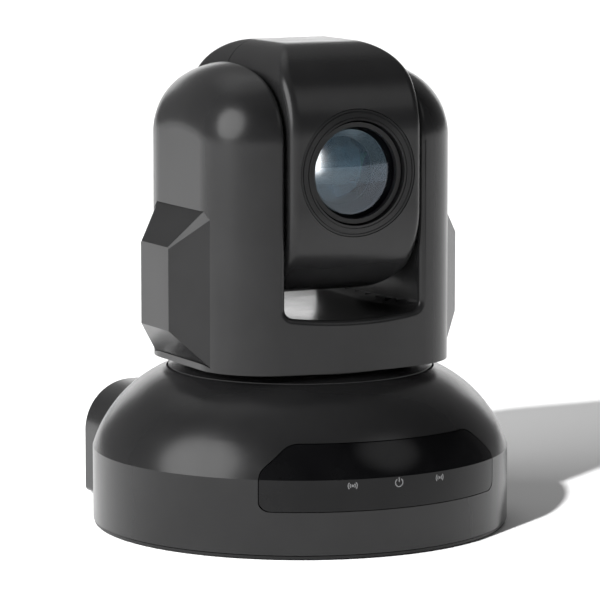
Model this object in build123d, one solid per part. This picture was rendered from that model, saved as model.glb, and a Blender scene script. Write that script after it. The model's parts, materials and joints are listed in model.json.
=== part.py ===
from build123d import *
import os
from math import acos, atan2, cos, pi, radians, sin, sqrt, tan

# Pan-tilt-zoom conference camera: round base, turning yoke and tilting lens head.
# Millimetres. +Z is up, the lens looks along -Y and +X is on the right of someone who faces it.
# The origin is on the pan axis, in the plane that the camera stands on.

# ---- Driving dimensions ----
# Base casing
BASE_R = 65.0
SHELL_Z0 = 1.6
BASE_WALL = 2.4
DOME_R = 39.1
DOME_CENTRE_R = 27.6
DOME_CENTRE_Z = 12.9
NECK_HOLE_R = 41.9
SEAM = 0.25
SEAM_DEPTH = 0.45
# Bottom plate, feet and tripod thread
PLATE_R = 64.6
PLATE_Z0 = 0.5
PLATE_Z1 = 1.3
PLATE_Z2 = 3.0
PLATE_STEP_R = 62.2
FOOT_R = 7.0
FOOT_XY = 36.8
TRIPOD_R = 3.2
TRIPOD_DEPTH = 8.0
TRIPOD_BOSS_R = 6.5
BOSS_X = 47.5
BOSS_Y = 28.0
BOSS_R = 3.6
PILOT_R = 1.25
VENT_COUNT = 5
VENT_Y = 18.0
VENT_PITCH = 6.0
VENT_HALF_X = 14.0
# Smoked window in the front of the base
WINDOW_HALF_X = 40.0
WINDOW_Z0 = 14.8
WINDOW_SHOULDER_Z = 26.0
WINDOW_TOP_X = 30.2
WINDOW_Z1 = 34.4
WINDOW_T = 1.8
SIGNAL_X = 14.8
SIGNAL_Z = 22.45
# Connector hood at the back
HOOD_HALF_X = 43.0
HOOD_Z0 = 1.0
HOOD_Z1 = 37.0
HOOD_CORNER_R = 16.0
HOOD_Y = 70.0
HOOD_WALL = 2.2
PANEL_Y0 = 65.8
PANEL_T = 1.8
SOCKET_MOUTH_Y = 68.4
SOCKET_Z0 = 9.7
POWER_X = -26.0
POWER_SIZE = (9.0, 11.0)
USB_X = -8.0
USB_SIZE = (12.0, 10.9)
CONTROL_X = (12.0, 29.5)
CONTROL_SIZE = (14.0, 13.0)
# Main board
BOARD_Z0 = 8.0
BOARD_T = 1.6
BOARD_HALF_X = 39.0
BOARD_Y = (-40.0, 42.0)
BOARD_TONGUE_HALF_X = 38.0
BOARD_TONGUE_Y = 63.5
STANDOFF_X = 34.0
STANDOFF_Y = 36.0
INDICATOR_Y = -56.0
INDICATOR_HALF_X = 22.0
# Gears: the pan and tilt drives share one gear and one pinion
MODULE = 0.8
GEAR_TEETH = 58
PINION_TEETH = 14
PRESSURE_ANGLE = 20.0
ADDENDUM = 0.8 * MODULE
DEDENDUM = 1.05 * MODULE
BACKLASH = 0.14
GEAR_DISTANCE = MODULE * (GEAR_TEETH + PINION_TEETH) / 2
SHAFT_R = 1.5
SHAFT_CLEARANCE = 0.05
# Pan drive stack
PAN_MOTOR_ANGLE = 225.0
PAN_MOTOR_R = 15.0
PAN_MOTOR_Z0 = 15.4
CHASSIS_Z0 = 33.4
CHASSIS_T = 2.0
PILLAR_R = 3.0
PILLAR_RING_R = 49.0
SPINDLE_R = 8.0
SPINDLE_BORE_R = 5.5
SPINDLE_Z0 = 24.0
RUNNING_GAP = 0.05
PAN_GEAR_Z0 = 39.4
PAN_GEAR_T = 4.0
PAN_MOTOR_SHAFT_Z1 = 44.0
BEARING_R = 10.5
BEARING_FLANGE_R = 13.5
BEARING_TOP_Z = 36.9
GEAR_HUB_R = 11.0
GEAR_HUB_Z0 = 37.0
RETAINER_Z = (28.8, 30.3)
TURNTABLE_R = 41.3
TURNTABLE_Z0 = 46.9
TURNTABLE_RIM_Z = 49.6
TURNTABLE_CONE = (34.5, 51.3)
TURNTABLE_SEAT_R = 29.7
# Yoke
YOKE_Z0 = 52.3
YOKE_HALF_X = 41.4
YOKE_HALF_Y = 38.9
YOKE_BULGE_R = 99.0
YOKE_CORNER_R = 22.0
YOKE_CROWN_R = 68.0
YOKE_TOP_Z = 145.0
YOKE_EDGE_R = 20.0
YOKE_WALL = 2.0
YOKE_SPLIT_Y = 20.0
SLOT_HALF_X = 23.0
SLOT_EDGE_R = 1.6
SLOT_CORNER_R = 3.0
CRADLE_Z = 66.6
CRADLE_ACROSS_R = 150.0
CRADLE_ALONG_R = 445.0
# Side covers
COVER_X = 50.0
COVER_INNER_X = 40.2
COVER_FLAT_Y = 9.9
COVER_FLAT_Z = (64.25, 89.9)
COVER_FOOT_Y = 20.0
COVER_FOOT_Z = (53.2, 102.2)
COVER_CORNER = 3.0
COVER_WALL = 1.8
COVER_SEAT = 0.6
COVER_GAP = 0.3
# Tilt axis and yoke frame
TILT_Z = 112.8
FRAME_X0 = 26.2
FRAME_T = 1.6
FRAME_Z0 = 54.6
FRAME_HALF_Y = 12.0
TRUNNION_R = 5.0
TRUNNION_BORE_R = 3.4
BUSH_R = 7.5
TILT_GEAR_X0 = 28.4
TILT_GEAR_T = 3.4
TILT_MOTOR_X0 = 32.8
TILT_MOTOR_LENGTH = 10.4
TILT_MOTOR_R = 11.0
TILT_EAR_Y = 13.2
TILT_EAR_SIZE = (31.0, 7.0)
DRIVE_BOARD_Z = (60.0, 100.0)
DRIVE_BOARD_GAP = 3.0
TILT_MOTOR_Z = TILT_Z - GEAR_DISTANCE
# Head
HEAD_HALF_X = 22.3
HEAD_HALF_Z = 38.3
HEAD_FRONT_Y = -38.7
HEAD_REAR_Y = 38.7
HEAD_FRONT_CORNER_R = 27.0
HEAD_REAR_CORNER_R = 32.0
HEAD_SIDE_CORNER_R = 13.5
HEAD_SHOULDER = 0.6
HEAD_EDGE_R = 3.0
HEAD_WALL = 1.8
HEAD_SPLIT_Y = 8.0
# Lens and camera block
TRIM_R = 19.3
TRIM_BORE_R = 16.0
TRIM_SINK = 0.2
TRIM_GROOVE_RADII = (18.7, 16.9)
TRIM_GROOVE_WIDTH = 0.25
TRIM_GROOVE_DEPTH = 0.35
BARREL_R = 15.4
BARREL_BORE_R = 12.2
BARREL_MOUTH_R = 14.0
BARREL_Y = -37.2
LENS_R = 13.9
LENS_RIM_Y = -35.4
LENS_BULGE = 2.6
LENS_BACK_Y = -30.5
BLOCK_HALF_X = 17.2
BLOCK_HALF_Z = 19.0
BLOCK_Y = (-8.0, 27.0)
BLOCK_WALL = 1.6
CELL_R = 11.6
CELL_LENS_R = 9.0
ZOOM_Y = -24.0
FOCUS_Y = 8.0
GUIDE_X = 13.4
GUIDE_R = 1.0
CHEEK_X0 = 18.8
CHEEK_T = 1.2
# Chips on the main board: centre x, centre y, width, depth, height
CHIPS = [
    (24.0, -18.0, 15.0, 15.0, 1.6),
    (24.0, 4.0, 11.0, 8.0, 1.2),
    (24.0, 18.0, 11.0, 8.0, 1.2),
    (2.0, -30.0, 9.0, 9.0, 1.4),
    (-26.0, 10.0, 10.0, 10.0, 1.4),
    (0.0, 30.0, 14.0, 6.0, 2.4),
    (-24.0, 30.0, 7.0, 7.0, 4.0),
]


# ---- Shape helpers ----
def block(x, y, z):
    """Block between pairs of limits."""
    return Pos(sum(x) / 2, sum(y) / 2, sum(z) / 2) * Box(x[1] - x[0], y[1] - y[0], z[1] - z[0])


def rod_x(radius, x0, x1, y=0.0, z=0.0):
    return Pos((x0 + x1) / 2, y, z) * Rot(0, 90, 0) * Cylinder(radius, abs(x1 - x0))


def rod_y(radius, y0, y1, x=0.0, z=0.0):
    return Pos(x, (y0 + y1) / 2, z) * Rot(90, 0, 0) * Cylinder(radius, abs(y1 - y0))


def rod_z(radius, z0, z1, x=0.0, y=0.0):
    return Pos(x, y, (z0 + z1) / 2) * Cylinder(radius, abs(z1 - z0))


def along_x(sketch, x0, x1):
    """Sketch drawn in (Y, Z), extruded from x0 to x1."""
    return Pos(x0, 0, 0) * extrude(Plane.YZ * sketch, amount=x1 - x0)


def along_y(sketch, y0, y1):
    """Sketch drawn in (X, Z), extruded from y0 to y1."""
    return Pos(0, y1, 0) * extrude(Plane.XZ * sketch, amount=y1 - y0)


def lathe(*points):
    """Solid turned about the Z axis from a closed outline of (radius, z) points."""
    return revolve(make_face(Plane.XZ * Polyline(*points, close=True)), Axis.Z)


def ring(places, piece):
    """Copies of one piece at several (x, y) places, as separate solids."""
    return Compound([Pos(x, y, 0) * piece for x, y in places])


def polar(radius, angle):
    return radius * cos(radians(angle)), radius * sin(radians(angle))


def four(x, y):
    return [(sx * x, sy * y) for sx in (-1, 1) for sy in (-1, 1)]


def pillar_places():
    return [polar(PILLAR_RING_R, angle) for angle in (0, 90, 180, 270)]


def standoff_places():
    return four(STANDOFF_X, STANDOFF_Y)


def save(name, shape):
    shape.label = name
    export_step(shape, f"parts/{name}.step")


# ---- Base casing ----
def base_envelope(inset=0.0, bottom=SHELL_Z0):
    """Everything inside the skin of the base, with the skin moved inwards by inset."""
    side_r = BASE_R - inset
    dome_r = DOME_R - inset
    side_top = DOME_CENTRE_Z + sqrt(dome_r**2 - (side_r - DOME_CENTRE_R) ** 2)
    neck_top = DOME_CENTRE_Z + sqrt(dome_r**2 - (NECK_HOLE_R - DOME_CENTRE_R) ** 2)
    mid_angle = (
        atan2(side_top - DOME_CENTRE_Z, side_r - DOME_CENTRE_R)
        + atan2(neck_top - DOME_CENTRE_Z, NECK_HOLE_R - DOME_CENTRE_R)
    ) / 2
    shoulder = (side_r, side_top)
    middle = (DOME_CENTRE_R + dome_r * cos(mid_angle), DOME_CENTRE_Z + dome_r * sin(mid_angle))
    neck = (NECK_HOLE_R, neck_top)
    outline = Polyline((0, neck_top), (0, bottom), (side_r, bottom), shoulder)
    outline += ThreePointArc(shoulder, middle, neck) + Line(neck, (0, neck_top))
    return revolve(make_face(Plane.XZ * outline), Axis.Z)


def window_outline(grow=0.0):
    """Front view of the smoked window: upright sides and sloped shoulders."""
    half = WINDOW_HALF_X + grow
    points = [
        (half, WINDOW_Z0 - grow),
        (half, WINDOW_SHOULDER_Z + grow / 2),
        (WINDOW_TOP_X + grow / 2, WINDOW_Z1 + grow),
    ]
    points += [(-x, z) for x, z in reversed(points)]
    face = make_face(Polyline(*points, close=True))
    for z, radius in ((points[0][1], 3.0), (points[1][1], 6.0), (points[2][1], 8.0)):
        face = fillet([v for v in face.vertices() if abs(v.Y - z) < 0.001], radius)
    return face


def hood_outline(inset=0.0):
    """Rear view of the connector hood: flat bottom, upright sides and round top corners."""
    half = HOOD_HALF_X - inset
    low = HOOD_Z0 + inset
    high = HOOD_Z1 - inset
    face = Pos(0, (low + high) / 2) * Rectangle(2 * half, high - low)
    face = fillet([v for v in face.vertices() if v.Y > low + 1], HOOD_CORNER_R - inset)
    return fillet([v for v in face.vertices() if v.Y < low + 0.1], 1.5)


def base_shell():
    shell = base_envelope() - base_envelope(BASE_WALL, 0.0)
    bosses = ring(four(BOSS_X, BOSS_Y), rod_z(BOSS_R, PLATE_Z2, 45.0))
    for boss in bosses.solids():
        shell += boss & base_envelope(BASE_WALL / 2)
    shell -= rod_z(NECK_HOLE_R, 40.0, 60.0)
    for x, y in four(BOSS_X, BOSS_Y):
        shell -= rod_z(PILOT_R, PLATE_Z2 - 1, PLATE_Z2 + 12, x, y)
    front = (-BASE_R - 1, -20.0)
    pocket = along_y(window_outline(SEAM), *front) - base_envelope(WINDOW_T + 0.1, 0.0)
    shell -= pocket
    shell -= along_y(window_outline(-2.5), *front)
    shell -= along_y(hood_outline(HOOD_WALL), 40.0, BASE_R + 5)
    return shell


def ir_window():
    front = (-BASE_R - 1, -20.0)
    return (along_y(window_outline(), *front) & base_envelope()) - base_envelope(WINDOW_T, 0.0)


def rear_hood():
    arch = along_y(hood_outline(), 30.0, HOOD_Y)
    rim = arch.faces().sort_by(Axis.Y)[-1].outer_wire().edges()
    arch = fillet(rim, 0.8)
    arch -= along_y(hood_outline(HOOD_WALL), 20.0, HOOD_Y + 1)
    arch -= base_envelope(0.0, -1.0)
    groove = along_y(hood_outline(-1.0), 30.0, 62.0) - along_y(hood_outline(0.4), 20.0, 70.0)
    groove &= base_envelope(-SEAM, -1.0)
    return arch - groove


def socket_place(x, size, grow=0.0):
    """X and Z limits of a socket that stands on the main board."""
    z = (SOCKET_Z0 - grow, SOCKET_Z0 + size[1] + grow)
    return (x - size[0] / 2 - grow, x + size[0] / 2 + grow), z


def connector_panel():
    y = (PANEL_Y0, PANEL_Y0 + PANEL_T)
    panel = along_y(hood_outline(HOOD_WALL + 0.15), *y)
    sockets = [(USB_X, USB_SIZE), (POWER_X, POWER_SIZE)] + [(x, CONTROL_SIZE) for x in CONTROL_X]
    for x, size in sockets:
        xs, zs = socket_place(x, size, 0.2)
        panel -= block(xs, (y[0] - 1, y[1] + 1), zs)
    return panel


def dc_jack():
    xs, zs = socket_place(POWER_X, POWER_SIZE)
    z = sum(zs) / 2
    body = block(xs, (SOCKET_MOUTH_Y - 14, SOCKET_MOUTH_Y), zs)
    body -= rod_y(3.3, SOCKET_MOUTH_Y - 10, SOCKET_MOUTH_Y + 1, POWER_X, z)
    return body + rod_y(1.0, SOCKET_MOUTH_Y - 11, SOCKET_MOUTH_Y - 1.5, POWER_X, z)


def usb_socket():
    xs, zs = socket_place(USB_X, USB_SIZE)
    z = sum(zs) / 2
    y1 = SOCKET_MOUTH_Y
    body = block(xs, (y1 - 16, y1), zs)
    mouth = Pos(USB_X, z) * Rectangle(8.5, 7.8)
    mouth = chamfer([v for v in mouth.vertices() if v.Y > z], 1.6)
    body -= along_y(mouth, y1 - 9.5, y1 + 1)
    return body + block((USB_X - 2.8, USB_X + 2.8), (y1 - 10, y1 - 1.2), (z - 1.6, z + 1.6))


def control_socket(x):
    """Round eight-pin socket."""
    xs, zs = socket_place(x, CONTROL_SIZE)
    z = sum(zs) / 2
    y1 = SOCKET_MOUTH_Y
    body = block(xs, (y1 - 14, y1), zs) - rod_y(4.6, y1 - 8.5, y1 + 1, x, z)
    for i in range(7):
        dx, dz = polar(2.7, 90 + 360 / 7 * i)
        body += rod_y(0.5, y1 - 9, y1 - 5.4, x + dx, z + dz)
    return body


def base_plate():
    plate = rod_z(PLATE_R, PLATE_Z0, PLATE_Z1) + rod_z(PLATE_STEP_R, PLATE_Z1, PLATE_Z2)
    plate -= rod_z(TRIPOD_BOSS_R, -1, 5)
    for x, y in four(FOOT_XY, FOOT_XY):
        plate -= rod_z(FOOT_R + 0.1, 0, 1.2, x, y)
    for x, y in four(BOSS_X, BOSS_Y):
        plate -= rod_z(1.7, 0, 5, x, y)
        plate -= rod_z(3.2, 0, 1.6, x, y)
    for i in range(VENT_COUNT):
        y = VENT_Y + i * VENT_PITCH
        plate -= block((-VENT_HALF_X, VENT_HALF_X), (y - 1.0, y + 1.0), (0, 5))
    return plate


def tripod_insert():
    z1 = TRIPOD_DEPTH
    body = rod_z(TRIPOD_BOSS_R, 0, PLATE_Z2) + rod_z(TRIPOD_BOSS_R + 2, PLATE_Z2, PLATE_Z2 + 1.5)
    body += rod_z(TRIPOD_BOSS_R - 1, 4, z1 + 1.5)
    return body - rod_z(TRIPOD_R, -1, z1)


def screw(radius, length, head_r, head_h, z_head=0.0, up=True):
    """Cross-recessed screw whose head's seat is at z_head; the shank runs up or down."""
    sign = 1 if up else -1
    shank = rod_z(radius, z_head, z_head + sign * length)
    head = rod_z(head_r, z_head, z_head - sign * head_h)
    depth = sorted((z_head - sign * head_h * 0.4, z_head - sign * 9))
    slot = block((-head_r * 0.6, head_r * 0.6), (-0.3, 0.3), depth)
    return (shank + head) - slot - Rot(0, 0, 90) * slot


def main_board():
    board = block((-BOARD_HALF_X, BOARD_HALF_X), BOARD_Y, (BOARD_Z0, BOARD_Z0 + BOARD_T))
    tongue = (-BOARD_TONGUE_HALF_X, BOARD_TONGUE_HALF_X)
    board += block(tongue, (BOARD_Y[1] - 1, BOARD_TONGUE_Y), (BOARD_Z0, BOARD_Z0 + BOARD_T))
    board -= rod_z(TRIPOD_BOSS_R + 3, 0, 20)
    for place in pillar_places():
        board -= rod_z(PILLAR_R + 1, 0, 20, *place)
    for place in standoff_places():
        board -= rod_z(1.3, 0, 20, *place)
    return board


def board_chips():
    top = BOARD_Z0 + BOARD_T
    return Compound(
        [block((x - w / 2, x + w / 2), (y - d / 2, y + d / 2), (top, top + h)) for x, y, w, d, h in CHIPS]
    )


def indicator_board():
    z = (SIGNAL_Z - 6.0, SIGNAL_Z + 6.0)
    return block((-INDICATOR_HALF_X, INDICATOR_HALF_X), (INDICATOR_Y, INDICATOR_Y + 1.2), z)


def ir_receivers():
    """Two remote-control receivers with a domed face."""
    body = block((-3.0, 3.0), (INDICATOR_Y - 3.0, INDICATOR_Y), (SIGNAL_Z - 3.2, SIGNAL_Z + 3.2))
    body += Pos(0, INDICATOR_Y - 3.0, SIGNAL_Z) * Sphere(2.0)
    return ring([(-SIGNAL_X, 0), (SIGNAL_X, 0)], body)


def power_led():
    lamp = rod_y(1.5, INDICATOR_Y - 4.0, INDICATOR_Y, 0, SIGNAL_Z)
    return lamp + Pos(0, INDICATOR_Y - 4.0, SIGNAL_Z) * Sphere(1.5)


# ---- Gears ----
def gear_face(teeth, tooth_angle):
    """Spur gear outline with stub involute teeth, one of them centred at tooth_angle degrees."""
    pitch_r = MODULE * teeth / 2
    base_r = pitch_r * cos(radians(PRESSURE_ANGLE))
    root_r = pitch_r - DEDENDUM
    radii = sorted({root_r, max(root_r, base_r), pitch_r, pitch_r + ADDENDUM})
    involute = tan(radians(PRESSURE_ANGLE)) - radians(PRESSURE_ANGLE)
    half_tooth = pi / (2 * teeth) - BACKLASH / 2 / pitch_r

    def half_angle(radius):
        pressure = acos(min(1.0, base_r / radius))
        return half_tooth + involute - (tan(pressure) - pressure)

    points = []
    for i in range(teeth):
        centre = radians(tooth_angle) + 2 * pi * i / teeth
        rising = [(r, centre - half_angle(r)) for r in radii]
        falling = [(r, centre + half_angle(r)) for r in reversed(radii)]
        points += [(r * cos(a), r * sin(a)) for r, a in rising + falling]
    return make_face(Polyline(*points, close=True))


def gear(teeth, tooth_angle, thickness, bore_r):
    face = gear_face(teeth, tooth_angle) - Circle(bore_r)
    return extrude(face, amount=thickness)


# ---- Pan drive ----
def pan_chassis():
    """Deck that carries the pan bearing and motor, on four ears."""
    deck = Circle(38.0)
    for angle in (0, 90, 180, 270):
        deck += Rot(0, 0, angle) * Pos(PILLAR_RING_R / 2, 0) * Rectangle(PILLAR_RING_R, 11.0)
        deck += Rot(0, 0, angle) * Pos(PILLAR_RING_R, 0) * Circle(5.5)
    deck -= Circle(BEARING_R)
    deck -= Pos(*polar(GEAR_DISTANCE, PAN_MOTOR_ANGLE)) * Circle(5.0)
    for place in pillar_places():
        deck -= Pos(*place) * Circle(1.6)
    for angle in (60, 300):
        deck -= Rot(0, 0, angle) * Pos(26.0, 0) * Circle(7.0)
    return Pos(0, 0, CHASSIS_Z0) * extrude(deck, amount=CHASSIS_T)


def chassis_pillars():
    pillar = rod_z(PILLAR_R, PLATE_Z2, CHASSIS_Z0) - rod_z(PILOT_R, CHASSIS_Z0 - 8, CHASSIS_Z0 + 1)
    return ring(pillar_places(), pillar)


def board_standoffs():
    standoff = rod_z(2.5, PLATE_Z2, BOARD_Z0) - rod_z(PILOT_R, PLATE_Z2 + 1, BOARD_Z0 + 1)
    return ring(standoff_places(), standoff)


def inner_screws():
    """Screws that hold the main board to its standoffs and the deck to its pillars."""
    board = screw(1.2, 5.0, 2.4, 1.6, BOARD_Z0 + BOARD_T, up=False)
    deck = screw(1.2, 6.0, 2.6, 1.8, CHASSIS_Z0 + CHASSIS_T, up=False)
    return Compound(ring(standoff_places(), board).solids() + ring(pillar_places(), deck).solids())


def pan_motor():
    x, y = polar(GEAR_DISTANCE, PAN_MOTOR_ANGLE)
    can = rod_z(PAN_MOTOR_R, PAN_MOTOR_Z0, CHASSIS_Z0, x, y)
    can += rod_z(4.5, CHASSIS_Z0, CHASSIS_Z0 + 2.0, x, y)
    return can - rod_z(SHAFT_R + SHAFT_CLEARANCE, PAN_MOTOR_Z0 + 3, 60, x, y)


def pan_motor_shaft():
    x, y = polar(GEAR_DISTANCE, PAN_MOTOR_ANGLE)
    return rod_z(SHAFT_R, PAN_MOTOR_Z0 + 3.2, PAN_MOTOR_SHAFT_Z1, x, y)


def pan_pinion():
    """One gap between teeth faces the pan axis, to mesh with the gear's tooth there."""
    x, y = polar(GEAR_DISTANCE, PAN_MOTOR_ANGLE)
    tooth_angle = PAN_MOTOR_ANGLE + 180 + 180 / PINION_TEETH
    return Pos(x, y, PAN_GEAR_Z0 - 0.4) * gear(PINION_TEETH, tooth_angle, PAN_GEAR_T + 0.8, SHAFT_R)


def pan_bearing():
    """Flanged bush that the hollow spindle turns in."""
    z0 = CHASSIS_Z0 - 3.0
    z1 = CHASSIS_Z0 + CHASSIS_T
    bush = rod_z(BEARING_R, z0, z1) + rod_z(BEARING_FLANGE_R, z1, BEARING_TOP_Z)
    return bush - rod_z(SPINDLE_R + RUNNING_GAP, z0 - 1, 38)


def pan_spindle():
    spindle = rod_z(SPINDLE_R, SPINDLE_Z0, TURNTABLE_Z0) + rod_z(15.0, PAN_GEAR_Z0 + PAN_GEAR_T, TURNTABLE_Z0)
    return spindle - rod_z(SPINDLE_BORE_R, SPINDLE_Z0 - 1, TURNTABLE_Z0 + 1)


def pan_gear():
    """Driven gear with a thrust hub that rests over the bearing's flange."""
    toothed = Pos(0, 0, PAN_GEAR_Z0) * gear(GEAR_TEETH, PAN_MOTOR_ANGLE, PAN_GEAR_T, SPINDLE_R)
    hub = rod_z(GEAR_HUB_R, GEAR_HUB_Z0, PAN_GEAR_Z0) - rod_z(SPINDLE_R, 36, 41)
    holes = [rod_z(3.2, 36, 50, *polar(17.0, a)) for a in range(0, 360, 60)]
    return (toothed + hub) - holes


def pan_retaining_ring():
    return rod_z(GEAR_HUB_R, *RETAINER_Z) - rod_z(SPINDLE_R, 28, 31)


def pan_home_sensor():
    """Slot sensor that finds the pan drive's middle position."""
    body = block((23.0, 33.0), (12.0, 18.0), (CHASSIS_Z0 + CHASSIS_T, 37.4))
    return body + block((27.5, 33.0), (12.0, 18.0), (37.4, 43.0))


def turntable():
    """Neck disc with a coned rim and the raised seat of the yoke."""
    bore = SPINDLE_BORE_R
    disc = lathe(
        (bore, TURNTABLE_Z0),
        (TURNTABLE_R, TURNTABLE_Z0),
        (TURNTABLE_R, TURNTABLE_RIM_Z),
        TURNTABLE_CONE,
        (TURNTABLE_CONE[0], YOKE_Z0),
        (TURNTABLE_SEAT_R, YOKE_Z0),
        (TURNTABLE_SEAT_R, FRAME_Z0),
        (bore, FRAME_Z0),
    )
    pocket = rod_z(27.0, 50.5, 60) - rod_z(12.0, 50, 61)
    ribs = [Rot(0, 0, a) * block((10, 28), (-1.5, 1.5), (50, 61)) for a in range(0, 360, 45)]
    return disc - (pocket - ribs)


# ---- Yoke ----
def yoke_plan(inset):
    """Flat sides, bulged front and back and wide round corners."""
    half = YOKE_HALF_X - inset
    reach = YOKE_HALF_Y - inset
    bulge = YOKE_BULGE_R - inset
    edge = reach - (bulge - sqrt(bulge**2 - half**2))
    outline = ThreePointArc((-half, -edge), (0, -reach), (half, -edge)) + Line((half, -edge), (half, edge))
    outline += ThreePointArc((half, edge), (0, reach), (-half, edge)) + Line((-half, edge), (-half, -edge))
    face = make_face(outline)
    return fillet(face.vertices(), YOKE_CORNER_R - inset)


def yoke_envelope(inset=0.0):
    """Yoke without its slot: the plan rises to a crowned top with a wide rounded edge."""
    crown_z = YOKE_TOP_Z - YOKE_CROWN_R
    z0 = YOKE_Z0 + inset
    body = Pos(0, 0, z0) * extrude(yoke_plan(inset), amount=YOKE_TOP_Z)
    reach = (-60, 60)
    limit = rod_x(YOKE_CROWN_R - inset, *reach, 0, crown_z) + block(reach, reach, (z0 - 1, crown_z))
    body &= limit
    top_edges = [e for e in body.edges() if e.center().Z > TILT_Z]
    return fillet(top_edges, YOKE_EDGE_R - inset)


def slot_cutter(inset=0.0):
    """Space for the head: between the arms, over a cradle that is slightly dished both ways."""
    half = SLOT_HALF_X + inset
    floor = CRADLE_Z - inset
    side = floor + CRADLE_ACROSS_R - sqrt(CRADLE_ACROSS_R**2 - half**2)
    outline = ThreePointArc((-half, side), (0, floor), (half, side))
    outline += Polyline((half, side), (half, 200), (-half, 200), (-half, side))
    section = make_face(outline)
    section = fillet([v for v in section.vertices() if v.Y < TILT_Z], SLOT_CORNER_R + inset)
    axis = Axis((0, 0, CRADLE_Z + CRADLE_ALONG_R), (1, 0, 0))
    return revolve(Plane.XZ * section, axis, 20).rotate(axis, -10)


def yoke_casing():
    """Both yoke shells in one: a hollow yoke with its seats, holes and openings."""
    outer = yoke_envelope() - slot_cutter()
    mouth = [
        e
        for e in outer.edges()
        if all(abs(v.X) < SLOT_HALF_X + 0.01 for v in e.vertices())
        and (abs((e @ 0.5).Y) > 30 or (e @ 0.5).Z > TILT_Z + 15)
    ]
    outer = fillet(mouth, SLOT_EDGE_R)
    casing = outer - (yoke_envelope(YOKE_WALL) - slot_cutter(YOKE_WALL))
    casing -= rod_z(TURNTABLE_SEAT_R + 0.2, 50, 57)
    for side in (-1, 1):
        casing -= rod_x(TRUNNION_R + 0.8, side * 22, side * 25.5, 0, TILT_Z)
        casing -= block(sorted((side * 38, side * 44)), (-13.5, 13.5), (62, 100))
        casing -= cover_block(side, COVER_GAP) - yoke_envelope(COVER_SEAT)
    reach = (-60, 60)
    groove = block(reach, (YOKE_SPLIT_Y - 0.15, YOKE_SPLIT_Y + 0.15), (50, 160)) - yoke_envelope(SEAM_DEPTH)
    return casing - (groove - block((-SLOT_HALF_X - 2, SLOT_HALF_X + 2), reach, (60, 160)))


def cover_section(half_y, z, corner, grow):
    """Cross-section of a side cover: a rectangle with its upper corners cut off."""
    y1 = half_y + grow
    z0 = z[0] - grow
    z1 = z[1] + grow
    points = [(y1, z0), (y1, z1 - corner), (y1 - corner, z1)]
    points += [(-y, z) for y, z in reversed(points)]
    return make_face(Polyline(*points, close=True))


def cover_block(side, grow=0.0):
    """Tapered block from a side cover's foot on the yoke out to its flat face."""
    foot = cover_section(COVER_FOOT_Y, COVER_FOOT_Z, COVER_CORNER, grow)
    flat = cover_section(COVER_FLAT_Y, COVER_FLAT_Z, 0.5, grow)
    outer_x = side * (COVER_X + grow)
    sections = [Plane.YZ.offset(side * COVER_INNER_X) * foot, Plane.YZ.offset(outer_x) * flat]
    return loft(sections, ruled=True)


def side_cover(side):
    cover = cover_block(side) - yoke_envelope(COVER_SEAT - 0.05)
    return cover - cover_block(side, -COVER_WALL)


def yoke_frame():
    """U-shaped bracket inside the yoke: a foot on the turntable and an arm on each side."""
    outer = FRAME_X0 + FRAME_T
    arm = Pos(0, (FRAME_Z0 + TILT_Z) / 2) * Rectangle(2 * FRAME_HALF_Y, TILT_Z - FRAME_Z0)
    arm += Pos(0, TILT_Z) * Circle(FRAME_HALF_Y)
    arm += Pos(0, TILT_MOTOR_Z) * Rectangle(*TILT_EAR_SIZE)
    arm -= Pos(0, TILT_Z) * Circle(BUSH_R)
    arm -= Pos(0, TILT_MOTOR_Z) * Circle(7.5)
    foot = block((-outer, outer), (-FRAME_HALF_Y, FRAME_HALF_Y), (FRAME_Z0, FRAME_Z0 + FRAME_T))
    frame = foot + along_x(arm, FRAME_X0, outer) + along_x(arm, -outer, -FRAME_X0)
    frame -= rod_z(6.0, 50, 60)
    for place in four(18.0, 8.0):
        frame -= rod_z(1.6, 50, 60, *place)
    return frame


def yoke_screws():
    """Screws that hold the frame's foot to the turntable."""
    return ring(four(18.0, 8.0), screw(1.5, 4.0, 2.7, 1.8, FRAME_Z0 + FRAME_T, up=False))


def tilt_motor():
    x1 = TILT_MOTOR_X0 + TILT_MOTOR_LENGTH
    can = rod_x(TILT_MOTOR_R, -x1, -TILT_MOTOR_X0, 0, TILT_MOTOR_Z)
    ears = Pos(0, TILT_MOTOR_Z) * Rectangle(*TILT_EAR_SIZE)
    can += along_x(ears, -TILT_MOTOR_X0 - 1.0, -TILT_MOTOR_X0)
    can -= rod_x(SHAFT_R + SHAFT_CLEARANCE, -x1 + 3, 0, 0, TILT_MOTOR_Z)
    for y in (-TILT_EAR_Y, TILT_EAR_Y):
        can -= rod_x(1.0, -40, -30, y, TILT_MOTOR_Z)
    return can


def tilt_motor_spacers():
    """Two posts between the tabs of the frame's arm and the motor's ears."""
    outer = FRAME_X0 + FRAME_T
    return Compound([rod_x(1.8, -TILT_MOTOR_X0, -outer, y, TILT_MOTOR_Z) for y in (-TILT_EAR_Y, TILT_EAR_Y)])


def tilt_bush(side):
    """Flanged bush in the frame's arm that a trunnion turns in."""
    outer = FRAME_X0 + FRAME_T
    bush = rod_x(BUSH_R, side * FRAME_X0, side * outer, 0, TILT_Z)
    bush += rod_x(BUSH_R + 2, side * (FRAME_X0 - 1.1), side * FRAME_X0, 0, TILT_Z)
    return bush - rod_x(TRUNNION_R + RUNNING_GAP, side * 20, side * 30, 0, TILT_Z)


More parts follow.
